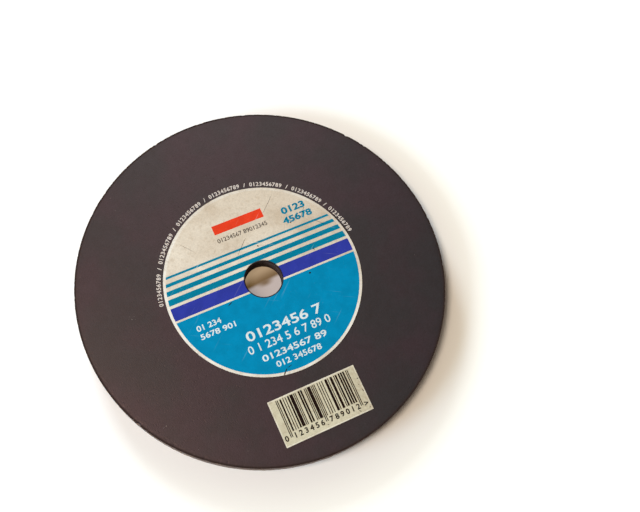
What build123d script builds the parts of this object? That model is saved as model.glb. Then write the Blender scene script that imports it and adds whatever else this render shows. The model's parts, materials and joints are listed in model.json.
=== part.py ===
from build123d import *
import os

# Straight grinding wheel with a paper centre label and a barcode sticker, in millimetres.
# The wheel lies flat on its plain face. The origin is the centre of the bore on that face,
# +Z points out of the labelled face and +Y is upright on the label.

# Driving dimensions of the wheel
wheel_diameter = 127.0
wheel_thickness = 6.0
bore_diameter = 12.7
rim_edge_round = 0.25
bore_edge_break = 0.25

# Driving dimensions of the label
label_diameter = 68.2
label_hole_diameter = 13.3
label_thickness = 0.10
label_margin = 0.95
print_depth = 0.03

# Driving dimensions of the fields printed on the label
band_width = 4.6
hairline = 0.7
stripe_widths = [2.2, 1.7, 1.2, 0.8]
first_stripe_gap = 1.0
stripe_gap_growth = 0.2
headline_width = 18.5
headline_height = 3.4
headline_centre_y = 22.8

# Driving dimensions of the sticker and its barcode
sticker_width = 31.4
sticker_height = 16.0
sticker_thickness = 0.12
sticker_centre = (-0.3, -47.4)
bar_thickness = 0.03
bar_module = 0.276
bar_top = 7.3
bar_bottom = -3.8
guard_bar_bottom = -5.5
barcode_digits = "0123456789012"

# Sizes that follow from them
wheel_radius = wheel_diameter / 2
bore_radius = bore_diameter / 2
label_radius = label_diameter / 2
label_hole_radius = label_hole_diameter / 2
print_radius = label_radius - label_margin
label_top = wheel_thickness + label_thickness
band_edge = band_width / 2

os.makedirs("parts", exist_ok=True)


# Abrasive disc: one pressed ring, its section turned about the bore axis.
# The rim's corners are worn round and the bore's corners are broken by a small cone.
with BuildPart() as abrasive_disc:
    with BuildSketch(Plane.XZ) as ring_section:
        with Locations(((wheel_radius + bore_radius) / 2, wheel_thickness / 2)):
            Rectangle(wheel_radius - bore_radius, wheel_thickness)
        fillet(ring_section.vertices().group_by(Axis.X)[-1], radius=rim_edge_round)
        chamfer(ring_section.vertices().group_by(Axis.X)[0], length=bore_edge_break)
    revolve(axis=Axis.Z)
abrasive_disc.part.label = "abrasive_disc"
export_step(abrasive_disc.part, "parts/abrasive_disc.step")


# The print lies level with the paper, so each field fills a shallow recess in the label
print_plane = Plane.XY.offset(label_top - print_depth)


def draw_bands(heights):
    """Draw bands straight across the label, cut to its print area and clear of its hole."""
    for low_y, high_y in heights:
        with Locations((0, (low_y + high_y) / 2)):
            Rectangle(label_diameter, high_y - low_y)
    Circle(print_radius, mode=Mode.INTERSECT)
    Circle(label_hole_radius, mode=Mode.SUBTRACT)


# Navy band: level with the middle of the bore, which breaks it in two
with BuildPart() as label_navy_band:
    with BuildSketch(print_plane):
        draw_bands([(-band_edge, band_edge)])
    extrude(amount=print_depth)
label_navy_band.part.label = "label_navy_band"
export_step(label_navy_band.part, "parts/label_navy_band.step")


# Blue field: everything below the band and the bare hairline under it
with BuildPart() as label_blue_field:
    with BuildSketch(print_plane):
        draw_bands([(-label_radius, -band_edge - hairline)])
    extrude(amount=print_depth)
label_blue_field.part.label = "label_blue_field"
export_step(label_blue_field.part, "parts/label_blue_field.step")


# Teal stripes: above the band, each thinner and further off than the one below it
stripe_heights = []
stripe_bottom = band_edge + first_stripe_gap
stripe_gap = first_stripe_gap
for stripe_width in stripe_widths:
    stripe_heights.append((stripe_bottom, stripe_bottom + stripe_width))
    stripe_gap += stripe_gap_growth
    stripe_bottom += stripe_width + stripe_gap

with BuildPart() as label_teal_stripes:
    with BuildSketch(print_plane):
        draw_bands(stripe_heights)
    extrude(amount=print_depth)
label_teal_stripes.part.label = "label_teal_stripes"
export_step(label_teal_stripes.part, "parts/label_teal_stripes.step")


# Red headline bar: near the top of the bare paper
with BuildPart() as label_red_headline:
    with BuildSketch(print_plane):
        with Locations((0, headline_centre_y)):
            Rectangle(headline_width, headline_height)
    extrude(amount=print_depth)
label_red_headline.part.label = "label_red_headline"
export_step(label_red_headline.part, "parts/label_red_headline.step")


# Centre label: a thin round paper washer glued to the upper face around the bore
printed_fields = [label_navy_band, label_blue_field, label_teal_stripes, label_red_headline]
with BuildPart() as centre_label:
    with BuildSketch(Plane.XY.offset(wheel_thickness)):
        Circle(label_radius)
        Circle(label_hole_radius, mode=Mode.SUBTRACT)
    extrude(amount=label_thickness)
    for field in printed_fields:
        add(field.part, mode=Mode.SUBTRACT)
centre_label.part.label = "centre_label"
export_step(centre_label.part, "parts/centre_label.step")


# Barcode sticker: a plain paper rectangle glued to the upper face below the label
sticker_plane = Plane((sticker_centre[0], sticker_centre[1], wheel_thickness))
with BuildPart() as barcode_sticker:
    with BuildSketch(sticker_plane):
        Rectangle(sticker_width, sticker_height)
    extrude(amount=sticker_thickness)
barcode_sticker.part.label = "barcode_sticker"
export_step(barcode_sticker.part, "parts/barcode_sticker.step")


# Barcode: a digit is a space, a bar, a space and a bar, of these widths in modules.
# Right of the middle guard it has the same widths and starts with a bar.
# The first digit, zero, has no bars of its own.
digit_widths = {
    "0": (3, 2, 1, 1),
    "1": (2, 2, 2, 1),
    "2": (2, 1, 2, 2),
    "3": (1, 4, 1, 1),
    "4": (1, 1, 3, 2),
    "5": (1, 2, 3, 1),
    "6": (1, 1, 1, 4),
    "7": (1, 3, 1, 2),
    "8": (1, 2, 1, 3),
    "9": (3, 1, 1, 2),
}
side_guard = (1, 1, 1)
middle_guard = (1, 1, 1, 1, 1)
left_digits = barcode_digits[1:7]
right_digits = barcode_digits[7:]
bars = []
module_count = 0


def add_bars(widths, starts_with_bar, low_y):
    """Lay the widths on from the left as bars and spaces by turns, the bars down to low_y."""
    global module_count
    is_bar = starts_with_bar
    for width in widths:
        if is_bar:
            bars.append((module_count, width, low_y))
        module_count += width
        is_bar = not is_bar


add_bars(side_guard, True, guard_bar_bottom)
for digit in left_digits:
    add_bars(digit_widths[digit], False, bar_bottom)
add_bars(middle_guard, False, guard_bar_bottom)
for digit in right_digits:
    add_bars(digit_widths[digit], True, bar_bottom)
add_bars(side_guard, True, guard_bar_bottom)
barcode_width = module_count * bar_module

with BuildPart() as barcode_bars:
    with BuildSketch(sticker_plane.offset(sticker_thickness)):
        for first_module, width, low_y in bars:
            bar_x = (first_module + width / 2) * bar_module - barcode_width / 2
            with Locations((bar_x, (bar_top + low_y) / 2)):
                Rectangle(width * bar_module, bar_top - low_y)
    extrude(amount=bar_thickness)
barcode_bars.part.label = "barcode_bars"
export_step(barcode_bars.part, "parts/barcode_bars.step")
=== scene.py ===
import json
import math
import bmesh
import bpy
from mathutils import Matrix, Vector, noise


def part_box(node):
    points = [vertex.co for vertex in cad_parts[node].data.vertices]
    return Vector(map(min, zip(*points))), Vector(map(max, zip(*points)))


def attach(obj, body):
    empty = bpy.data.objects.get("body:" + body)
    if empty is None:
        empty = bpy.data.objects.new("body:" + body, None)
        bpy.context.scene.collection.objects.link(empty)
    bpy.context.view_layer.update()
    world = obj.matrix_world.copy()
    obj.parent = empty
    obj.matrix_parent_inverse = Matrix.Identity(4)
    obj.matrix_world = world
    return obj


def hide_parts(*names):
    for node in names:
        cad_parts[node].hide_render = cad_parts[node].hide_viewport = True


# A straight grinding wheel lying flat, labelled face up. Metres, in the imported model's frame.

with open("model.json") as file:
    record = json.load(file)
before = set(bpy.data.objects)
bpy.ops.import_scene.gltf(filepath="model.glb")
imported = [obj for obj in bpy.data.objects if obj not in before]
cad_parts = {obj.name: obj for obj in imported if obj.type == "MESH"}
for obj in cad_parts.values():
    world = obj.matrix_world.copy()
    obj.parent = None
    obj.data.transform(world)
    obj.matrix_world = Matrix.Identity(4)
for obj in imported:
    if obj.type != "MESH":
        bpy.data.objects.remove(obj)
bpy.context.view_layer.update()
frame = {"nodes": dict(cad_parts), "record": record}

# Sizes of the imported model

MM = 0.001
bore_mount = next(mount for mount in frame["record"]["mounts"] if mount["name"] == "bore")

WHEEL_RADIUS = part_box("abrasive_disc")[1].x
WHEEL_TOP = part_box("abrasive_disc")[1].z
BORE_RADIUS = bore_mount["dims"]["r_mm"] * MM
LABEL_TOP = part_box("centre_label")[1].z
LABEL_HOLE_RADIUS = 6.65 * MM
PRINT_RADIUS = -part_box("label_blue_field")[0].y
STICKER_LOW, STICKER_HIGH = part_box("barcode_sticker")
BARS_LOW, BARS_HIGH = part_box("barcode_bars")

RIM_ROUND = 0.25 * MM
BORE_BREAK = 0.25 * MM
CRUMBLED_BORDER = 2.6 * MM


# Small helpers

def srgb(red, green, blue):
    """A colour written as 0 to 255 screen values, as the linear colour that a shader takes."""
    linear = []
    for value in (red, green, blue):
        share = value / 255
        linear.append(share / 12.92 if share <= 0.04045 else ((share + 0.055) / 1.055) ** 2.4)
    return (*linear, 1.0)


def soft_step(value, low, high):
    """0 below low, 1 above high, and a soft rise between them."""
    share = min(1.0, max(0.0, (value - low) / (high - low)))
    return share * share * (3 - 2 * share)


def show(piece):
    """Puts an object in the scene."""
    bpy.context.scene.collection.objects.link(piece)
    return piece


def finish_piece(name, bm, material):
    """Turns a bmesh into a piece that rides on the wheel."""
    mesh = bpy.data.meshes.new(name)
    bm.to_mesh(mesh)
    bm.free()
    mesh.materials.append(material)
    piece = show(bpy.data.objects.new(name, mesh))
    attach(piece, "root")
    return piece


# Shader building

class Nodes:
    """Adds nodes to a tree. An input is given by name or number, as a value or as another socket."""

    def __init__(self, tree):
        self.tree = tree

    def fill(self, node, inputs):
        """Sets a node's inputs, or links them."""
        for key, value in inputs.items():
            if isinstance(value, bpy.types.NodeSocket):
                self.tree.links.new(value, node.inputs[key])
            else:
                node.inputs[key].default_value = value

    def add(self, kind, inputs=None, **settings):
        """Adds a node of that kind, with its inputs and settings."""
        node = self.tree.nodes.new(kind)
        for key, value in settings.items():
            setattr(node, key, value)
        self.fill(node, inputs or {})
        return node

    def group(self, tree, **inputs):
        """Places a shader group, its inputs given by name."""
        node = self.add("ShaderNodeGroup", node_tree=tree)
        self.fill(node, inputs)
        return node.outputs

    def math(self, operation, first, second=0.0, clamp=False):
        """Works a number out from one or two others."""
        inputs = {0: first, 1: second}
        return self.add("ShaderNodeMath", inputs, operation=operation, use_clamp=clamp).outputs[0]

    def ramp(self, value, low, high, to_low=0.0, to_high=1.0):
        """value from low to high becomes to_low to to_high, with soft ends. low may lie above high."""
        inputs = {0: value, 1: low, 2: high, 3: to_low, 4: to_high}
        return self.add("ShaderNodeMapRange", inputs, interpolation_type="SMOOTHSTEP").outputs[0]

    def mix(self, share, first, second, blend="MIX"):
        """Mixes two colours, whose sockets on the node are numbers 6 and 7, and 2 for the result."""
        inputs = {0: share, 6: first, 7: second}
        return self.add("ShaderNodeMix", inputs, data_type="RGBA", blend_type=blend).outputs[2]

    def shaded(self, colour, shade):
        """A colour made darker or lighter by a number."""
        grey = self.add("ShaderNodeCombineColor", {0: shade, 1: shade, 2: shade}).outputs[0]
        return self.mix(1.0, colour, grey, "MULTIPLY")

    def noise(self, place, size, detail, roughness):
        """Noise with features of about that size in metres."""
        inputs = {"Vector": place, "Scale": 1 / size, "Detail": detail, "Roughness": roughness}
        return self.add("ShaderNodeTexNoise", inputs).outputs["Fac"]

    def cells(self, place, size):
        """Round cells of about that size: how far each point is from a middle, and a number per cell."""
        node = self.add("ShaderNodeTexVoronoi", {"Vector": place, "Scale": 1 / size})
        number = self.add("ShaderNodeSeparateColor", {0: node.outputs["Color"]}).outputs[0]
        return node.outputs["Distance"], number

    def parts(self, place):
        """The x, y and z of a place."""
        return self.add("ShaderNodeSeparateXYZ", {0: place}).outputs

    def radius(self, place):
        """How far a place is from the wheel's axis."""
        x, y, _ = self.parts(place)
        flat = self.add("ShaderNodeCombineXYZ", {0: x, 1: y}).outputs[0]
        return self.add("ShaderNodeVectorMath", {0: flat}, operation="LENGTH").outputs["Value"]

    def moved(self, place, move, stretch=(1, 1, 1), turn=0.0):
        """A place for a pattern that is stretched, then turned about Z, then moved."""
        inputs = {"Vector": place, "Location": move, "Rotation": (0, 0, turn), "Scale": stretch}
        return self.add("ShaderNodeMapping", inputs, vector_type="TEXTURE").outputs[0]


def new_group(name, inputs, outputs):
    """A shader group with named sockets, and the nodes at its two ends."""
    tree = bpy.data.node_groups.new(name, "ShaderNodeTree")
    for socket, kind in inputs.items():
        tree.interface.new_socket(socket, in_out="INPUT", socket_type=kind)
    for socket, kind in outputs.items():
        tree.interface.new_socket(socket, in_out="OUTPUT", socket_type=kind)
    nodes = Nodes(tree)
    return nodes, nodes.add("NodeGroupInput").outputs, nodes.add("NodeGroupOutput").inputs


def new_material(name, roughness, gloss):
    """A material with its shader and the place on the piece, ready for colour and bump."""
    material = bpy.data.materials.new(name)
    material.use_nodes = True
    nodes = Nodes(material.node_tree)
    shader = material.node_tree.nodes["Principled BSDF"]
    shader.inputs["Roughness"].default_value = roughness
    shader.inputs["Specular IOR Level"].default_value = gloss
    place = nodes.add("ShaderNodeTexCoord").outputs["Object"]
    return material, nodes, shader, place


def join(nodes, source, target):
    """Links an output to an input."""
    nodes.tree.links.new(source, target)


def bump(nodes, shader, height, depth):
    """Raises the surface by height times depth metres."""
    raised = nodes.add("ShaderNodeBump", {"Height": height, "Distance": depth, "Strength": 1.0})
    join(nodes, raised.outputs[0], shader.inputs["Normal"])


# Colours

LABEL_PAPER = srgb(233, 228, 215)
LABEL_GROUND = srgb(223, 212, 193)
LABEL_STAIN_AND_SHADE = srgb(184, 164, 138)
STICKER_PAPER = srgb(206, 199, 171)
STICKER_EDGE = srgb(226, 219, 198)
STICKER_STAIN = srgb(160, 142, 114)
WHITE_INK = srgb(212, 220, 219)
NAVY_INK = srgb(46, 56, 150)
BLUE_INK = srgb(0, 130, 172)
TEAL_INK = srgb(0, 119, 147)
RED_INK = srgb(220, 62, 34)
GREY_INK = srgb(84, 76, 68)
RIM_INK = srgb(208, 197, 186)
BAR_INK = srgb(30, 18, 14)
BROWN_BOND = srgb(44, 36, 42)
GREY_BOND = srgb(34, 37, 40)
RIM_BOND = srgb(104, 84, 70)
PALE_GRIT = srgb(160, 148, 138)
PORE_DARK = srgb(34, 27, 26)
# Painted shade for the corners of the rim and the bore
PAINTED_CORNER_SHADE = srgb(24, 18, 18)


# Effects that materials use, each a group of nodes

COLOUR = "NodeSocketColor"
NUMBER = "NodeSocketFloat"
PLACE = "NodeSocketVector"

# A noise is the size of its features, its detail and its roughness.
# Noise and cells lie between 0 and 1, and limits say where on that scale a mark starts and is full.
# A move gives a pattern a part of the noise that no other pattern uses.
FIBRE_NOISE = (0.45 * MM, 3.0, 0.65)
FIBRE_LIMITS = (0.3, 0.7)
FIBRE_SHADES = (0.90, 1.05)
STAIN_MOVE = (0.3, 0.1, 0)
STAIN_NOISE = (9 * MM, 2.0, 0.5)
STAIN_LIMITS = (0.35, 0.8)
STAIN_STRENGTH = 0.45
PAPER_FLECK_MOVE = (0.7, 0.5, 0)
PAPER_FLECK_NOISE = (1.3 * MM, 2.0, 0.5)
PAPER_FLECK_LIMITS = (0.5, 0.75)
PAPER_FLECK_STRENGTH = 0.35


def paper_fibre_group():
    """Fine fibre and faint stains of glued paper. Where Darkening is above 0, it mixes in more of the stain
    colour all over.
    """
    nodes, given, result = new_group(
        "paper_fibre",
        {"Place": PLACE, "Paper": COLOUR, "Stain": COLOUR, "Age": NUMBER},
        {"Colour": COLOUR, "Height": NUMBER},
    )
    place = given["Place"]
    cloud = nodes.noise(nodes.moved(place, STAIN_MOVE), *STAIN_NOISE)
    clouds = nodes.ramp(cloud, *STAIN_LIMITS, 0.0, STAIN_STRENGTH)
    stained = nodes.mix(nodes.math("ADD", clouds, given["Age"], clamp=True), given["Paper"], given["Stain"])
    fleck = nodes.noise(nodes.moved(place, PAPER_FLECK_MOVE), *PAPER_FLECK_NOISE)
    flecks = nodes.ramp(fleck, *PAPER_FLECK_LIMITS, 0.0, PAPER_FLECK_STRENGTH)
    flecked = nodes.mix(flecks, stained, given["Stain"])
    fibre = nodes.noise(place, *FIBRE_NOISE)
    shade = nodes.ramp(fibre, *FIBRE_LIMITS, *FIBRE_SHADES)
    join(nodes, nodes.shaded(flecked, shade), result["Colour"])
    join(nodes, fibre, result["Height"])
    return nodes.tree


# Two sets of fine scratches through the ink: move, stretch, turn, noise and limits
SCRATCHES = (
    ((0.2, 0.4, 0), (16, 0.7, 1), 0.7, (1.2 * MM, 2.0, 0.5), (0.68, 0.78)),
    ((0.5, 0.9, 0), (18, 0.7, 1), -0.5, (1.1 * MM, 2.0, 0.5), (0.69, 0.79)),
)
INK_FLECK_NOISE = (0.5 * MM, 4.0, 0.7)
INK_FLECK_LIMITS = (0.62, 0.8)
INK_PATCH_NOISE = (14 * MM, 2.0, 0.5)
INK_PATCH_LIMITS = (0.4, 0.7)
LEAST_PATCH_WEAR = 0.25
INK_TONE_NOISE = (3.5 * MM, 3.0, 0.6)
INK_TONE_LIMITS = (0.3, 0.7)
INK_TONES = (0.92, 1.06)


def worn_ink_group():
    """Ink rubbed thin in flecks and along fine scratches, so that the paper shows through."""
    nodes, given, result = new_group(
        "worn_ink", {"Place": PLACE, "Ink": COLOUR, "Paper": COLOUR, "Wear": NUMBER}, {"Colour": COLOUR}
    )
    place = given["Place"]
    worn = nodes.ramp(nodes.noise(place, *INK_FLECK_NOISE), *INK_FLECK_LIMITS)
    for move, stretch, turn, pattern, limits in SCRATCHES:
        scratch = nodes.noise(nodes.moved(place, move, stretch, turn), *pattern)
        worn = nodes.math("MAXIMUM", worn, nodes.ramp(scratch, *limits))
    patch = nodes.ramp(nodes.noise(place, *INK_PATCH_NOISE), *INK_PATCH_LIMITS, LEAST_PATCH_WEAR, 1.0)
    share = nodes.math("MULTIPLY", nodes.math("MULTIPLY", worn, patch), given["Wear"], clamp=True)
    tone = nodes.ramp(nodes.noise(place, *INK_TONE_NOISE), *INK_TONE_LIMITS, *INK_TONES)
    join(nodes, nodes.mix(share, nodes.shaded(given["Ink"], tone), given["Paper"]), result["Colour"])
    return nodes.tree


HOLE_RING_RADII = (LABEL_HOLE_RADIUS + 0.28 * MM, LABEL_HOLE_RADIUS + 0.12 * MM)
HOLE_RING_STRENGTH = 0.85


def dark_hole_ring_group():
    """A dark ring on the label round its hole."""
    nodes, given, result = new_group("dark_hole_ring", {"Place": PLACE, "Colour": COLOUR}, {"Colour": COLOUR})
    hole_ring = nodes.ramp(nodes.radius(given["Place"]), *HOLE_RING_RADII, 0.0, HOLE_RING_STRENGTH)
    join(nodes, nodes.mix(hole_ring, given["Colour"], PORE_DARK), result["Colour"])
    return nodes.tree


GRIT_SIZE = 0.34 * MM
GRIT_DOME = (0.75, 0.05)
GRIT_DOME_HEIGHT = 0.7
FINE_GRIT_NOISE = (0.16 * MM, 2.0, 0.5)
FINE_GRIT_HEIGHT = 0.3
PORE_MOVE = (0.13, 0.31, 0.07)
PORE_SPACING = 0.9 * MM
PORE_EDGE = (0.32, 0.14)
CELLS_WITH_PORES = (0.55, 0.75)


def abrasive_grain_group():
    """Packed grit: a shade for each grain, its height, and the open pores between grains."""
    nodes, given, result = new_group(
        "abrasive_grain", {"Place": PLACE}, {"Shade": NUMBER, "Height": NUMBER, "Pores": NUMBER}
    )
    place = given["Place"]
    distance, shade = nodes.cells(place, GRIT_SIZE)
    domes = nodes.ramp(distance, *GRIT_DOME, 0.0, GRIT_DOME_HEIGHT)
    fine = nodes.math("MULTIPLY", nodes.noise(place, *FINE_GRIT_NOISE), FINE_GRIT_HEIGHT)
    pore_distance, pore_number = nodes.cells(nodes.moved(place, PORE_MOVE), PORE_SPACING)
    has_pore = nodes.ramp(pore_number, *CELLS_WITH_PORES)
    pores = nodes.math("MULTIPLY", nodes.ramp(pore_distance, *PORE_EDGE), has_pore)
    join(nodes, shade, result["Shade"])
    join(nodes, nodes.math("SUBTRACT", nodes.math("ADD", domes, fine), pores), result["Height"])
    join(nodes, pores, result["Pores"])
    return nodes.tree


PAPER_FIBRE = paper_fibre_group()
WORN_INK = worn_ink_group()
DARK_HOLE_RING = dark_hole_ring_group()
ABRASIVE_GRAIN = abrasive_grain_group()


# Paper and ink

PAPER_ROUGHNESS = 0.6
PAPER_GLOSS = 0.3
PAPER_BUMP = 0.02 * MM
PRINT_EDGE = (PRINT_RADIUS + 0.1 * MM, PRINT_RADIUS - 0.1 * MM)
PAINTED_SHADE_SPREAD = (-5 * MM, 45 * MM)
MOST_PAINTED_SHADE = 0.38


def label_paper_material():
    """Bare paper at the label's margin and a pale printed ground inside it, with painted shade that darkens
    it towards the upper right.
    """
    material, nodes, shader, place = new_material("label_paper", PAPER_ROUGHNESS, PAPER_GLOSS)
    x, y, _ = nodes.parts(place)
    # Painted shade: the stain colour spreads over the paper towards the upper right.
    painted_shade = nodes.ramp(nodes.math("ADD", x, y), *PAINTED_SHADE_SPREAD, 0.0, MOST_PAINTED_SHADE)
    paper = nodes.mix(nodes.ramp(nodes.radius(place), *PRINT_EDGE), LABEL_PAPER, LABEL_GROUND)
    fibre = nodes.group(PAPER_FIBRE, Place=place, Paper=paper, Stain=LABEL_STAIN_AND_SHADE, Age=painted_shade)
    # A dark ring round the label's hole.
    rubbed = nodes.group(DARK_HOLE_RING, Place=place, Colour=fibre["Colour"])
    join(nodes, rubbed["Colour"], shader.inputs["Base Color"])
    bump(nodes, shader, fibre["Height"], PAPER_BUMP)
    return material


PALE_EDGE_START = 0.5 * MM
PALE_EDGE_FULL = 0.3 * MM
HANDLED_END = (STICKER_HIGH.x - 7 * MM, STICKER_HIGH.x - 1 * MM)
DIRT_NOISE = (0.9 * MM, 3.0, 0.6)
DIRT_LIMITS = (0.38, 0.6)
DIRT_SHARES = (0.05, 0.4)


def sticker_paper_material():
    """Cream paper, paler along its cut edges, with dirt rubbed into its right end."""
    material, nodes, shader, place = new_material("sticker_paper", PAPER_ROUGHNESS, PAPER_GLOSS)
    parts = nodes.parts(place)
    at_edge = 0.0
    for axis in (0, 1):
        middle = (STICKER_LOW[axis] + STICKER_HIGH[axis]) / 2
        half = (STICKER_HIGH[axis] - STICKER_LOW[axis]) / 2
        from_middle = nodes.math("ABSOLUTE", nodes.math("SUBTRACT", parts[axis], middle))
        edge = nodes.ramp(from_middle, half - PALE_EDGE_START, half - PALE_EDGE_FULL)
        at_edge = nodes.math("MAXIMUM", at_edge, edge)
    paper = nodes.mix(at_edge, STICKER_PAPER, STICKER_EDGE)
    handled = nodes.ramp(parts[0], *HANDLED_END)
    smears = nodes.ramp(nodes.noise(place, *DIRT_NOISE), *DIRT_LIMITS, *DIRT_SHARES)
    dirt = nodes.math("MULTIPLY", handled, smears)
    fibre = nodes.group(PAPER_FIBRE, Place=place, Paper=paper, Stain=STICKER_STAIN, Age=dirt)
    join(nodes, fibre["Colour"], shader.inputs["Base Color"])
    bump(nodes, shader, fibre["Height"], PAPER_BUMP)
    return material


INK_ROUGHNESS = 0.65
INK_GLOSS = 0.04
INK_BUMP = 0.015 * MM


def ink_material(name, ink, paper=LABEL_PAPER, wear=0.5):
    """Dull ink, rubbed off the paper in places where wear is above 0."""
    material, nodes, shader, place = new_material(name, INK_ROUGHNESS, INK_GLOSS)
    worn = nodes.group(WORN_INK, Place=place, Ink=ink, Paper=paper, Wear=wear)
    # A dark ring round the label's hole.
    rubbed = nodes.group(DARK_HOLE_RING, Place=place, Colour=worn["Colour"])
    join(nodes, rubbed["Colour"], shader.inputs["Base Color"])
    bump(nodes, shader, nodes.noise(place, *FIBRE_NOISE), INK_BUMP)
    return material


# Abrasive grit and bond

# Radii where the wear and the painted shade start and are full, and the same as a height from the disc's
# middle
OPEN_RIM = (WHEEL_RADIUS - 0.6 * MM, WHEEL_RADIUS - 0.1 * MM)
OPEN_BORE = (BORE_RADIUS + 0.6 * MM, BORE_RADIUS + 0.3 * MM)
RIM_CORNER_SHADE_RADII = (WHEEL_RADIUS - 1.0 * MM, WHEEL_RADIUS - 0.4 * MM)
BORDER_SHADE_RADII = (WHEEL_RADIUS - CRUMBLED_BORDER, WHEEL_RADIUS - 0.6 * MM)
NEAR_FACE = (WHEEL_TOP / 2 - 0.45 * MM, WHEEL_TOP / 2 - 0.2 * MM)

FACE_ROUGHNESS = 0.43
RIM_ROUGHNESS = 0.55
ADDED_BORE_ROUGHNESS = 0.4
ADDED_CORNER_ROUGHNESS = 0.3
FACE_GLOSS = 0.62
FACE_GLOSS_TINT = (0.98, 0.68, 0.65, 1.0)
GRIT_BUMP = 0.05 * MM
FACE_BUMP_SHARE = 0.35

CLOUD_NOISE = (22 * MM, 3.0, 0.55)
CLOUD_LIMITS = (0.35, 0.65)
MOTTLE_MOVE = (0.3, 0.2, 0.1)
MOTTLE_NOISE = (3 * MM, 3.0, 0.6)
MOTTLE_LIMITS = (0.3, 0.7)
MOTTLE_SHADES = (0.93, 1.07)
GRIT_SHADES = (0.90, 1.10)
BORDER_SHADE = 0.86
RIM_BOND_SHARE_AT_RIM = 0.8
RIM_BOND_SHARE_IN_BORE = 0.3
PAINTED_CORNER_SHADE_SHARE = 0.9
PORE_SHARES = (0.35, 0.9)
SPECK_MOVE = (0.51, 0.17, 0.05)
SPECK_SPACING = 3.2 * MM
SPECK_EDGE = (0.09, 0.04)
CELLS_WITH_SPECKS = (0.93, 0.95)
SPECK_SHARE = 0.08


def wear_masks(nodes, place):
    """How far, from 0 to 1, a place is on the open rim, in the open bore and at a corner with painted
    shade.
    """
    radius = nodes.radius(place)
    height = nodes.parts(place)[2]
    from_middle = nodes.math("ABSOLUTE", nodes.math("SUBTRACT", height, WHEEL_TOP / 2))
    at_face = nodes.ramp(from_middle, *NEAR_FACE)
    at_rim = nodes.ramp(radius, *OPEN_RIM)
    at_bore = nodes.ramp(radius, *OPEN_BORE)
    rim_corner = nodes.ramp(radius, *RIM_CORNER_SHADE_RADII)
    corner = nodes.math("MULTIPLY", nodes.math("MAXIMUM", rim_corner, at_bore), at_face)
    return at_rim, at_bore, corner


def abrasive_roughness(nodes, at_rim, at_bore, corner):
    """Duller on the open grit than on the pressed faces, and dullest at the bore's corners."""
    rim = nodes.ramp(at_rim, 0, 1, FACE_ROUGHNESS, RIM_ROUGHNESS)
    bore = nodes.ramp(at_bore, 0, 1, 0, ADDED_BORE_ROUGHNESS)
    corners = nodes.ramp(corner, 0, 1, 0, ADDED_CORNER_ROUGHNESS)
    return nodes.math("ADD", nodes.math("ADD", rim, bore), corners, clamp=True)


def pressed_bond(nodes, place, shade):
    """The bond of the pressed faces, in clouds of brown and grey, with painted shade that darkens it
    towards the rim.
    """
    clouds = nodes.ramp(nodes.noise(place, *CLOUD_NOISE), *CLOUD_LIMITS)
    # Painted shade: the face darker towards the rim.
    border_shade = nodes.ramp(nodes.radius(place), *BORDER_SHADE_RADII, 1.0, BORDER_SHADE)
    return nodes.shaded(nodes.mix(clouds, BROWN_BOND, GREY_BOND), nodes.math("MULTIPLY", shade, border_shade))


def pale_specks(nodes, place):
    """A few faint pale grains in the bond."""
    distance, number = nodes.cells(nodes.moved(place, SPECK_MOVE), SPECK_SPACING)
    has_speck = nodes.ramp(number, *CELLS_WITH_SPECKS)
    specks = nodes.math("MULTIPLY", nodes.ramp(distance, *SPECK_EDGE), has_speck)
    return nodes.math("MULTIPLY", specks, SPECK_SHARE)


def abrasive_material():
    """Dark resin-bonded grit, smooth on its pressed faces and open on the rim and in the bore, with painted
    shade at its corners and near the rim.
    """
    material, nodes, shader, place = new_material("abrasive", FACE_ROUGHNESS, FACE_GLOSS)
    shader.inputs["Specular Tint"].default_value = FACE_GLOSS_TINT
    at_rim, at_bore, corner = wear_masks(nodes, place)
    join(nodes, abrasive_roughness(nodes, at_rim, at_bore, corner), shader.inputs["Roughness"])

    grain = nodes.group(ABRASIVE_GRAIN, Place=place)
    mottle = nodes.noise(nodes.moved(place, MOTTLE_MOVE), *MOTTLE_NOISE)
    mottle_shade = nodes.ramp(mottle, *MOTTLE_LIMITS, *MOTTLE_SHADES)
    shade = nodes.math("MULTIPLY", mottle_shade, nodes.ramp(grain["Shade"], 0, 1, *GRIT_SHADES))

    rim_share = nodes.math("MULTIPLY", at_rim, RIM_BOND_SHARE_AT_RIM)
    bore_share = nodes.math("MULTIPLY", at_bore, RIM_BOND_SHARE_IN_BORE)
    open_share = nodes.math("ADD", rim_share, bore_share)
    open_grit = nodes.math("MAXIMUM", at_rim, at_bore)
    pore_share = nodes.math("MULTIPLY", grain["Pores"], nodes.ramp(open_grit, 0, 1, *PORE_SHARES))
    colour = nodes.mix(open_share, pressed_bond(nodes, place, shade), nodes.shaded(RIM_BOND, shade))
    # Painted shade along the rim's corners and the bore's edges.
    colour = nodes.mix(nodes.math("MULTIPLY", corner, PAINTED_CORNER_SHADE_SHARE), colour, PAINTED_CORNER_SHADE)
    colour = nodes.mix(pore_share, colour, PORE_DARK)
    colour = nodes.mix(pale_specks(nodes, place), colour, PALE_GRIT)
    join(nodes, colour, shader.inputs["Base Color"])

    height = nodes.math("MULTIPLY", grain["Height"], nodes.ramp(open_grit, 0, 1, FACE_BUMP_SHARE, 1.0))
    bump(nodes, shader, height, GRIT_BUMP)
    return material


# Shape of the abrasive body

SECTORS = 24
SECTOR_STEPS = 60
RIM_ROWS = 18
BORE_ROWS = 10
BORDER_RINGS = 6
FACE_RINGS = 4
BORE_BORDER = 1.2 * MM
RIM_ROUND_STEPS = 4
BORE_BREAK_STEPS = 1
LONG_EDGE = 1 * MM
SAME_RADIUS = 1e-7
WALL_REACH = 0.01 * MM
SEAM_REACH = 0.001 * MM
SHARP_ANGLE = 40

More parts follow.
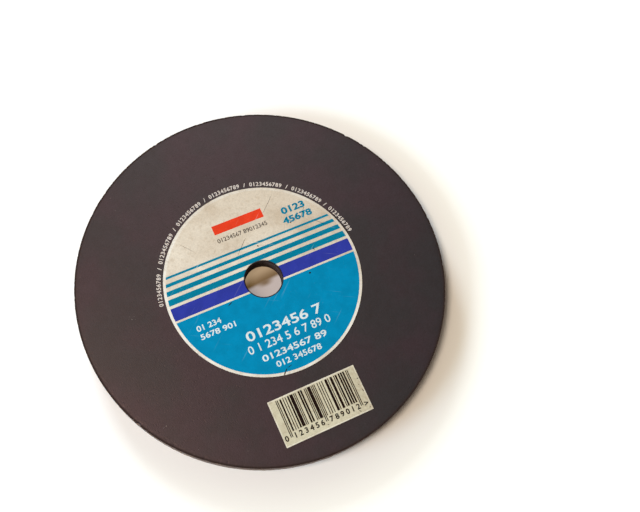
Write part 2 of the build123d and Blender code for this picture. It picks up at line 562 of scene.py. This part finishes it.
GRAIN_SIZE = 0.42 * MM
GRAIN_DEPTH = 0.035 * MM
PIT_SIZE = 0.9 * MM
PIT_LIMITS = (0.28, 0.7)
PIT_DEPTH = 0.14 * MM
NIBBLE_MOVE = Vector((7, 3, 5))
NIBBLE_SIZE = 1.6 * MM
NIBBLE_LIMITS = (0.25, 0.65)
NIBBLE_DEPTH = 0.12 * MM
NIBBLE_REACH = (0.09 * MM, 0.48 * MM)
BORE_WALL = (BORE_RADIUS + 0.5 * BORE_BREAK, BORE_RADIUS + 2 * BORE_BREAK)

# Chips knocked out of the rim's upper corner: angle in degrees, half width and depth
RIM_CHIPS = (
    (-152.6, 0.75 * MM, 0.65 * MM),
    (-127.0, 0.45 * MM, 0.30 * MM),
    (38.0, 0.60 * MM, 0.35 * MM),
    (104.0, 0.50 * MM, 0.30 * MM),
)
CHIP_BOTTOM_SHARE = 0.3
CHIP_END_SHARE = 1.3


def chip_depth(place):
    """How deep the rim chips reach at a place on the upper corner."""
    depth = 0.0
    for angle, half_width, chip in RIM_CHIPS:
        middle = Vector((
            WHEEL_RADIUS * math.cos(math.radians(angle)),
            WHEEL_RADIUS * math.sin(math.radians(angle)),
            WHEEL_TOP,
        ))
        limits = (CHIP_BOTTOM_SHARE * half_width, CHIP_END_SHARE * half_width)
        depth = max(depth, chip * (1 - soft_step((place - middle).length, *limits)))
    return depth


def crumble_depth(place):
    """How far the worn surface lies below the pressed one, for open grit at the rim and in the bore."""
    radius = math.hypot(place.x, place.y)
    at_rim = soft_step(radius, WHEEL_RADIUS - CRUMBLED_BORDER, WHEEL_RADIUS - RIM_ROUND)
    on_bore_wall = 1 - soft_step(radius, *BORE_WALL)
    share = max(at_rim * at_rim * at_rim, on_bore_wall)
    if share <= 0:
        return 0.0
    grain = min(1.0, noise.voronoi(place / GRAIN_SIZE)[0][0])
    pit = soft_step(noise.noise(place / PIT_SIZE), *PIT_LIMITS)
    from_corner = math.hypot(WHEEL_RADIUS - radius, min(place.z, WHEEL_TOP - place.z))
    nibble = soft_step(noise.noise(place / NIBBLE_SIZE + NIBBLE_MOVE), *NIBBLE_LIMITS)
    nibble *= 1 - soft_step(from_corner, *NIBBLE_REACH)
    worn = share * (GRAIN_DEPTH * grain + PIT_DEPTH * pit) + NIBBLE_DEPTH * nibble
    return worn + chip_depth(place)


def split(bm, cuts, low_x, high_x):
    """Cuts the long edges whose middle is between low_x and high_x, and leaves those of the corners."""
    chosen = []
    for edge in bm.edges:
        middle = (edge.verts[0].co + edge.verts[1].co) / 2
        if low_x < middle.x < high_x and edge.calc_length() > LONG_EDGE:
            chosen.append(edge)
    bmesh.ops.subdivide_edges(bm, edges=chosen, cuts=cuts)


def ring_section():
    """The ring's section as a closed loop of edges in the XZ plane, denser where the grit is open."""
    bm = bmesh.new()
    rim_border = WHEEL_RADIUS - CRUMBLED_BORDER
    bore_border = BORE_RADIUS + BORE_BORDER
    radii = (BORE_RADIUS, bore_border, rim_border, WHEEL_RADIUS)
    points = [(radius, 0) for radius in radii] + [(radius, WHEEL_TOP) for radius in reversed(radii)]
    bm.faces.new([bm.verts.new((x, 0, z)) for x, z in points])
    rim_corner = (WHEEL_RADIUS, RIM_ROUND, RIM_ROUND_STEPS)
    bore_corner = (BORE_RADIUS, BORE_BREAK, BORE_BREAK_STEPS)
    for radius, size, steps in (rim_corner, bore_corner):
        corners = [vert for vert in bm.verts if abs(vert.co.x - radius) < SAME_RADIUS]
        bmesh.ops.bevel(
            bm, geom=corners, offset=size, offset_type="OFFSET", affect="VERTICES",
            segments=steps, profile=0.5, material=-1,
        )
    bmesh.ops.delete(bm, geom=bm.faces[:], context="FACES_ONLY")
    split(bm, FACE_RINGS, bore_border, rim_border)
    split(bm, BORDER_RINGS, rim_border, WHEEL_RADIUS - RIM_ROUND)
    split(bm, RIM_ROWS, WHEEL_RADIUS - WALL_REACH, WHEEL_RADIUS + WALL_REACH)
    split(bm, BORE_ROWS, BORE_RADIUS - WALL_REACH, BORE_RADIUS + WALL_REACH)
    return bm


def build_abrasive_body(material):
    """The ring's section turned in one sector, the sector repeated, and its open grit worn down."""
    bm = ring_section()
    sector = math.tau / SECTORS
    around = {"cent": (0, 0, 0), "axis": (0, 0, 1), "dvec": (0, 0, 0)}
    bmesh.ops.spin(bm, geom=bm.verts[:] + bm.edges[:], angle=sector, steps=SECTOR_STEPS, **around)
    whole = bm.verts[:] + bm.edges[:] + bm.faces[:]
    bmesh.ops.spin(bm, geom=whole, angle=math.tau - sector, steps=SECTORS - 1, use_duplicate=True, **around)
    bmesh.ops.remove_doubles(bm, verts=bm.verts[:], dist=SEAM_REACH)
    bmesh.ops.recalc_face_normals(bm, faces=bm.faces[:])
    bm.normal_update()
    moves = [(vert, vert.normal * crumble_depth(vert.co)) for vert in bm.verts]
    for vert, move in moves:
        vert.co -= move
    for face in bm.faces:
        face.smooth = True
    body = finish_piece("abrasive_body", bm, material)
    body.data.set_sharp_from_angle(angle=math.radians(SHARP_ANGLE))
    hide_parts("abrasive_disc")


# Printed figures

FIGURE_THICKNESS = 0.012 * MM
FIGURE_SINK = 0.003 * MM
FIGURE_CURVE_STEPS = 5
FIGURE_SEAM_REACH = 1e-8
SHARPEST_CORNER = 1.0


def figure_mesh(text):
    """A line of figures as a flat mesh, one unit high or so."""
    curve = bpy.data.curves.new("figures", "FONT")
    curve.body = text
    curve.resolution_u = FIGURE_CURVE_STEPS
    carrier = bpy.data.objects.new("figures", curve)
    mesh = bpy.data.meshes.new_from_object(carrier)
    bpy.data.objects.remove(carrier)
    return mesh


def embolden(verts, amount):
    """Moves the outline of flat figures outwards, and that of their holes inwards."""
    moves = []
    for vert in verts:
        outwards = Vector((0, 0, 0))
        for edge in vert.link_edges:
            if edge.is_boundary:
                along = edge.other_vert(vert).co - vert.co
                across = Vector((along.y, -along.x, 0)).normalized()
                inside = edge.link_faces[0].calc_center_median() - vert.co
                outwards += -across if across.dot(inside) > 0 else across
        reach = max(outwards.length_squared, SHARPEST_CORNER)
        moves.append((vert, outwards * (2 * amount / reach)))
    for vert, move in moves:
        vert.co += move


def add_figures(bm, text, width, height, place, boldness):
    """Adds a line of figures, as wide as it comes where width is None. place moves it from its middle."""
    mesh = figure_mesh(text)
    before = set(bm.verts)
    bm.from_mesh(mesh)
    added = [vert for vert in bm.verts if vert not in before]
    embolden(added, boldness)
    low_x = min(vert.co.x for vert in added)
    high_x = max(vert.co.x for vert in added)
    low_y = min(vert.co.y for vert in added)
    high_y = max(vert.co.y for vert in added)
    bmesh.ops.translate(bm, verts=added, vec=(-(low_x + high_x) / 2, -(low_y + high_y) / 2, 0))
    upwards = height / (high_y - low_y)
    across = width / (high_x - low_x) if width else upwards
    bmesh.ops.scale(bm, verts=added, vec=(across, upwards, 1))
    bmesh.ops.transform(bm, verts=added, matrix=place)


def thicken(bm, bottom):
    """Gives the flat figures their ink's thickness, sunk a little below bottom."""
    bmesh.ops.remove_doubles(bm, verts=bm.verts[:], dist=FIGURE_SEAM_REACH)
    lower = bm.faces[:]
    result = bmesh.ops.extrude_face_region(bm, geom=lower, use_keep_orig=True)
    upper = [item for item in result["geom"] if isinstance(item, bmesh.types.BMVert)]
    bmesh.ops.translate(bm, verts=upper, vec=(0, 0, FIGURE_THICKNESS))
    bmesh.ops.translate(bm, verts=bm.verts[:], vec=(0, 0, bottom - FIGURE_SINK))
    bmesh.ops.recalc_face_normals(bm, faces=bm.faces[:])
    for face in bm.faces:
        face.smooth = False


def build_lines(name, lines, material):
    """Lines of figures that lie across the label."""
    bm = bmesh.new()
    for text, x, y, width, height, boldness in lines:
        place = Matrix.Translation((x * MM, y * MM, 0))
        add_figures(bm, text, width * MM, height * MM, place, boldness)
    thicken(bm, LABEL_TOP)
    finish_piece(name, bm, material)


# Text, middle x and y, width and height in millimetres, and boldness as a share of the type size
WHITE_LINES = (
    ("0123456 7", 0.2, -16.8, 27.7, 3.5, 0.018),
    ("0 1 234 5 6 7 89 0", 0.2, -21.3, 30.0, 2.9, 0.008),
    ("01234567 89", 0.2, -25.6, 23.5, 2.3, 0.018),
    ("012 345678", 0.2, -29.1, 16.4, 2.1, 0.018),
    ("01 234", -23.3, -7.6, 8.7, 2.0, 0.02),
    ("5678 901", -21.2, -10.7, 12.5, 2.0, 0.02),
)
TEAL_LINES = (
    ("0123", 20.0, 20.4, 8.8, 2.6, 0.04),
    ("45678", 20.2, 16.7, 11.0, 2.6, 0.04),
)
GREY_LINES = (("01234567 89012345", 0.0, 18.6, 18.6, 1.6, 0.012),)

RIM_TEXT_REPEATS = 7
RIM_TEXT = " / ".join(["0123456789"] * RIM_TEXT_REPEATS)
RIM_TEXT_RADIUS = 35.6 * MM
RIM_TEXT_HEIGHT = 1.52 * MM
RIM_TEXT_START = 173.0
RIM_TEXT_END = 7.0
RIM_TEXT_BOLDNESS = 0.025


def build_rim_figures(material):
    """Small figures in an arc over the label, each upright towards the rim."""
    bm = bmesh.new()
    for number, sign in enumerate(RIM_TEXT):
        if sign == " ":
            continue
        share = (number + 0.5) / len(RIM_TEXT)
        angle = math.radians(RIM_TEXT_START + (RIM_TEXT_END - RIM_TEXT_START) * share)
        turn = Matrix.Rotation(angle - math.pi / 2, 4, "Z")
        place = turn @ Matrix.Translation((0, RIM_TEXT_RADIUS, 0))
        add_figures(bm, sign, None, RIM_TEXT_HEIGHT, place, RIM_TEXT_BOLDNESS)
    thicken(bm, WHEEL_TOP)
    finish_piece("rim_figures", bm, material)


BARCODE_FIGURES = "0123456789012"
BARCODE_FIGURE_HEIGHT = 1.9 * MM
BARCODE_BOLDNESS = 0.03
CLOSING_MARK = ">"
CLOSING_MARK_HEIGHT = 1.4 * MM
FIRST_FIGURE_GAP = 1.35 * MM
CLOSING_MARK_GAP = 1.15 * MM
FIGURE_CENTRE_BELOW_BARS = 0.2 * MM
BARCODE_MODULES = 95
FIGURE_MODULES = 7
FIGURES_PER_HALF = 6
LEFT_START_MODULE = 3
RIGHT_START_MODULE = 50


def build_barcode_figures(material):
    """One figure before the bars, six under each half, and the closing mark after them."""
    module = (BARS_HIGH.x - BARS_LOW.x) / BARCODE_MODULES
    middle_y = BARS_LOW.y + FIGURE_CENTRE_BELOW_BARS
    places = [BARS_LOW.x - FIRST_FIGURE_GAP]
    for start in (LEFT_START_MODULE, RIGHT_START_MODULE):
        for number in range(FIGURES_PER_HALF):
            places.append(BARS_LOW.x + (start + FIGURE_MODULES * (number + 0.5)) * module)
    places.append(BARS_HIGH.x + CLOSING_MARK_GAP)
    bm = bmesh.new()
    for sign, x in zip(BARCODE_FIGURES + CLOSING_MARK, places):
        height = CLOSING_MARK_HEIGHT if sign == CLOSING_MARK else BARCODE_FIGURE_HEIGHT
        add_figures(bm, sign, None, height, Matrix.Translation((x, middle_y, 0)), BARCODE_BOLDNESS)
    thicken(bm, STICKER_HIGH.z)
    finish_piece("barcode_figures", bm, material)


# Scuffs and pale grains

# Scuffs on the label and the sticker: start, end and width in millimetres
LABEL_SCUFFS = (
    ((-4.9, 11.3), (0.3, 16.3), 0.10),
    ((9.3, 22.2), (15.3, 27.8), 0.09),
    ((21.1, 15.7), (24.0, 19.3), 0.10),
    ((24.5, 13.6), (29.0, 9.4), 0.08),
    ((-21.8, 22.8), (-17.6, 17.6), 0.07),
    ((20.6, 3.7), (20.4, 2.8), 0.28),
    ((-14.9, -4.2), (-13.1, -3.3), 0.26),
    ((15.2, -4.1), (15.9, -4.4), 0.55),
    ((2.7, 12.1), (3.1, 11.5), 0.34),
    ((16.9, 15.6), (17.2, 15.2), 0.30),
    ((-7.3, -33.4), (-5.3, -31.6), 0.38),
    ((-5.2, -31.5), (-3.3, -31.1), 0.18),
)
STICKER_SCUFFS = (
    ((14.6, -43.9), (15.0, -44.3), 0.30),
    ((14.2, -46.2), (14.5, -46.0), 0.26),
    ((14.7, -48.0), (14.9, -48.9), 0.24),
    ((10.6, -54.0), (11.4, -54.6), 0.24),
    ((13.4, -53.2), (13.8, -53.0), 0.30),
    ((14.3, -54.5), (14.8, -54.3), 0.24),
    ((-0.9, -53.9), (-0.2, -54.1), 0.18),
)
SCUFF_CORNERS = 8


def build_scuffs(name, scuffs, bottom, material):
    """Thin dark rubs, each a flat sliver with pointed ends."""
    bm = bmesh.new()
    for (x0, y0), (x1, y1), width in scuffs:
        start = Vector((x0, y0, 0)) * MM
        end = Vector((x1, y1, 0)) * MM
        run = end - start
        place = Matrix.Translation((start + end) / 2) @ Matrix.Rotation(math.atan2(run.y, run.x), 4, "Z")
        place = place @ Matrix.Diagonal((run.length / 2, width * MM / 2, 1, 1))
        bmesh.ops.create_circle(bm, cap_ends=True, segments=SCUFF_CORNERS, radius=1, matrix=place)
    thicken(bm, bottom)
    finish_piece(name, bm, material)


# Pale grains that stand out on the dark face: middle and width in millimetres
PALE_GRAINS = (
    ((-48.4, -33.1), 0.32),
    ((-49.4, -33.4), 0.21),
    ((-57.1, -26.9), 0.18),
    ((-45.9, 4.2), 0.31),
    ((-46.2, 5.3), 0.16),
    ((-44.9, 4.8), 0.16),
    ((-44.9, 3.7), 0.16),
    ((-46.9, 4.6), 0.15),
    ((-37.3, 47.9), 0.21),
    ((-41.9, -44.2), 0.20),
    ((52.4, -12.6), 0.16),
)
GRAIN_SHARE_SUNK = 0.7
GRAIN_SUBDIVISIONS = 2


def build_pale_grains(material):
    """Single light grains, sunk into the face all but their tops."""
    bm = bmesh.new()
    for (x, y), width in PALE_GRAINS:
        radius = width * MM / 2
        middle = Matrix.Translation((x * MM, y * MM, WHEEL_TOP - radius * GRAIN_SHARE_SUNK))
        bmesh.ops.create_icosphere(bm, subdivisions=GRAIN_SUBDIVISIONS, radius=radius, matrix=middle)
    finish_piece("pale_grains", bm, material)


# Stage

WHITE = (1, 1, 1, 1)

CAMERA_PLACE = Vector((-43.81, -77.26, 283.53)) * MM
CAMERA_AIM = Vector((21.40, 0.0, 6.0)) * MM
CAMERA_ROLL = math.radians(16.28)
CAMERA_LENS = 47.62
CAMERA_NEAR = 5 * MM


def add_camera():
    """The photograph's camera, fitted to the outlines of rim, label, sticker and bore."""
    data = bpy.data.cameras.new("camera")
    data.lens = CAMERA_LENS
    data.clip_start = CAMERA_NEAR
    camera = show(bpy.data.objects.new("camera", data))
    aim = (CAMERA_AIM - CAMERA_PLACE).to_track_quat("-Z", "Y").to_matrix()
    roll = Matrix.Rotation(CAMERA_ROLL, 3, "Z")
    camera.matrix_world = Matrix.Translation(CAMERA_PLACE) @ (aim @ roll).to_4x4()
    bpy.context.scene.camera = camera


# Lamps: name, azimuth and height in degrees, size, power, colour, and whether they give gloss and light.
# Gloss from the low windows would wash the dark face out in low views, so they give none.
# The lamp below lights the wheel's back through the opening in the floor.
LAMPS = (
    ("left_window", 178, 18, 0.5, 19.2, (0.58, 0.77, 1.0), False, True),
    ("back_window", 90, 14, 0.4, 23.1, (0.76, 0.89, 1.0), False, True),
    ("room_lamp", 175, 64, 0.45, 9.6, (1.0, 0.85, 0.68), True, True),
    ("sheen_lamp", 75, 52, 0.45, 2.8, (0.95, 1.0, 1.0), True, False),
    ("under_lamp", 200, -55, 0.6, 22.0, (1.0, 0.96, 0.92), True, True),
)
LAMP_DISTANCE = 1.3


def add_lamps():
    """Square soft lamps that face the wheel."""
    for name, azimuth, height, size, power, colour, gives_gloss, gives_light in LAMPS:
        data = bpy.data.lights.new(name, "AREA")
        data.shape = "SQUARE"
        data.size = size
        data.energy = power
        data.color = colour
        lamp = show(bpy.data.objects.new(name, data))
        around = Matrix.Rotation(math.radians(azimuth), 4, "Z")
        up = Matrix.Rotation(math.radians(90 - height), 4, "Y")
        lamp.matrix_world = around @ up @ Matrix.Translation((0, 0, LAMP_DISTANCE))
        lamp.visible_glossy = gives_gloss
        lamp.visible_diffuse = gives_light


ROOM_COLOUR = (1.0, 0.82, 0.65, 1)
ROOM_LIGHT = 0.17


def add_room():
    """Dim warm light from all round, which the camera sees as plain white."""
    world = bpy.data.worlds.new("studio")
    world.use_nodes = True
    nodes = Nodes(world.node_tree)
    background = world.node_tree.nodes["Background"].inputs
    seen = nodes.add("ShaderNodeLightPath").outputs["Is Camera Ray"]
    join(nodes, nodes.mix(seen, ROOM_COLOUR, WHITE), background["Color"])
    join(nodes, nodes.ramp(seen, 0, 1, ROOM_LIGHT, 1.0), background["Strength"])
    bpy.context.scene.world = world


BORE_FLOOR_TAN = srgb(160, 136, 106)
BORE_FLOOR_BROWN = srgb(88, 64, 26)
BORE_FLOOR_GREY = srgb(174, 163, 160)
BORE_FLOOR_SLOPE = 0.07
TAN_TO_BROWN = (5.5 * MM, 0.8 * MM)
BROWN_TO_GREY = (1.4 * MM, -0.2 * MM)
GREY_SIDES = (-5 * MM, 3 * MM)
GREY_SHADES = (0.82, 1.03)
WEDGE_MIDDLE = (0.9 * MM, 0.3 * MM, 0)
WEDGE_STRETCH = (2.0, 1, 1)
WEDGE_FADE = (2.0 * MM, 0.1 * MM)
WEDGE_SHARE = 0.9


def bore_floor_painted_shade(nodes, place):
    """Painted shade and shadow in the glow of the floor at the bottom of the bore: tan above, grey below,
    and a brown wedge at its middle.
    """
    x, y, _ = nodes.parts(place)
    above = nodes.math("SUBTRACT", y, nodes.math("MULTIPLY", x, BORE_FLOOR_SLOPE))
    upper = nodes.mix(nodes.ramp(above, *TAN_TO_BROWN), BORE_FLOOR_TAN, BORE_FLOOR_BROWN)
    lower = nodes.shaded(BORE_FLOOR_GREY, nodes.ramp(x, *GREY_SIDES, *GREY_SHADES))
    shade = nodes.mix(nodes.ramp(above, *BROWN_TO_GREY), upper, lower)
    from_middle = nodes.radius(nodes.moved(place, WEDGE_MIDDLE, WEDGE_STRETCH))
    return nodes.mix(nodes.ramp(from_middle, *WEDGE_FADE, 0.0, WEDGE_SHARE), shade, BORE_FLOOR_BROWN)


FLOOR_RADIUS = 2.5
FLOOR_OPENING = WHEEL_RADIUS - 0.6 * MM
FLOOR_CORNERS = 128
BORE_FLOOR_CORNERS = 64
FLOOR_ROUGHNESS = 0.9
FLOOR_GLOSS = 0.1
FLOOR_COLOUR = (0.95, 0.93, 0.90, 1)
BORE_FLOOR_COLOUR = (0.16, 0.13, 0.11, 1)
FLOOR_LIFT = (0.22, 0.25, 0.21, 1)
LIFT_REACH = (WHEEL_RADIUS, WHEEL_RADIUS + 24 * MM)
WHITE_FLOOR = (0.14, 0.35)


def floor_material():
    """A pale floor, lifted by a glow that only the camera sees, and clear from below."""
    material, nodes, shader, place = new_material("pale_floor", FLOOR_ROUGHNESS, FLOOR_GLOSS)
    radius = nodes.radius(place)
    in_bore = nodes.math("LESS_THAN", radius, 2 * BORE_RADIUS)
    # In the bore the floor is dark, and its glow paints the shade and shadow seen there.
    join(nodes, nodes.mix(in_bore, FLOOR_COLOUR, BORE_FLOOR_COLOUR), shader.inputs["Base Color"])

    round_wheel = nodes.mix(nodes.ramp(radius, *WHITE_FLOOR), FLOOR_LIFT, WHITE)
    glow = nodes.mix(in_bore, round_wheel, bore_floor_painted_shade(nodes, place))
    join(nodes, glow, shader.inputs["Emission Color"])
    seen = nodes.add("ShaderNodeLightPath").outputs["Is Camera Ray"]
    strength = nodes.math("MAXIMUM", nodes.ramp(radius, *LIFT_REACH), in_bore)
    join(nodes, nodes.math("MULTIPLY", seen, strength), shader.inputs["Emission Strength"])

    from_below = nodes.add("ShaderNodeNewGeometry").outputs["Backfacing"]
    join(nodes, nodes.math("SUBTRACT", 1.0, from_below), shader.inputs["Alpha"])
    return material


def add_floor():
    """A floor that is open where the wheel hides it, and closed again at the bottom of the bore."""
    bm = bmesh.new()
    bmesh.ops.create_circle(bm, cap_ends=True, segments=FLOOR_CORNERS, radius=FLOOR_RADIUS)
    bmesh.ops.inset_region(
        bm, faces=bm.faces[:], thickness=FLOOR_RADIUS - FLOOR_OPENING,
        use_boundary=True, use_even_offset=True,
    )
    hidden = min(bm.faces, key=lambda face: face.calc_center_median().length)
    bmesh.ops.delete(bm, geom=[hidden], context="FACES_ONLY")
    bore_floor_radius = BORE_RADIUS + BORE_BREAK
    bmesh.ops.create_circle(bm, cap_ends=True, segments=BORE_FLOOR_CORNERS, radius=bore_floor_radius)
    bm.normal_update()
    bmesh.ops.reverse_faces(bm, faces=[face for face in bm.faces if face.normal.z < 0])
    mesh = bpy.data.meshes.new("floor")
    bm.to_mesh(mesh)
    bm.free()
    mesh.materials.append(floor_material())
    floor = show(bpy.data.objects.new("floor", mesh))


# Dressing the frame

build_abrasive_body(abrasive_material())

white_print = ink_material("white_print", WHITE_INK, paper=BLUE_INK, wear=0.3)
teal_print = ink_material("teal_print", TEAL_INK)
grey_print = ink_material("grey_print", GREY_INK)
bar_print = ink_material("bar_print", BAR_INK, paper=STICKER_PAPER, wear=0.4)
rim_print = ink_material("rim_print", RIM_INK, paper=BROWN_BOND, wear=0.8)
dirt = ink_material("dirt", BAR_INK, paper=LABEL_STAIN_AND_SHADE, wear=0.1)
pale_grit = ink_material("pale_grit", PALE_GRIT, paper=GREY_BOND, wear=0.05)

node_finish = {
    "centre_label": label_paper_material(),
    "label_navy_band": ink_material("navy_print", NAVY_INK, wear=0.25),
    "label_blue_field": ink_material("blue_print", BLUE_INK, wear=0.08),
    "label_teal_stripes": teal_print,
    "label_red_headline": ink_material("red_print", RED_INK),
    "barcode_sticker": sticker_paper_material(),
    "barcode_bars": bar_print,
}
for node, material in node_finish.items():
    for slot in frame["nodes"][node].material_slots:
        slot.material = material

build_lines("white_figures", WHITE_LINES, white_print)
build_lines("teal_figures", TEAL_LINES, teal_print)
build_lines("grey_figures", GREY_LINES, grey_print)
build_rim_figures(rim_print)
build_barcode_figures(bar_print)
build_scuffs("label_scuffs", LABEL_SCUFFS, LABEL_TOP + FIGURE_THICKNESS, dirt)
build_scuffs("sticker_scuffs", STICKER_SCUFFS, STICKER_HIGH.z, dirt)
build_pale_grains(pale_grit)

add_floor()
add_room()
add_lamps()
add_camera()
bpy.context.scene.view_settings.view_transform = "Standard"
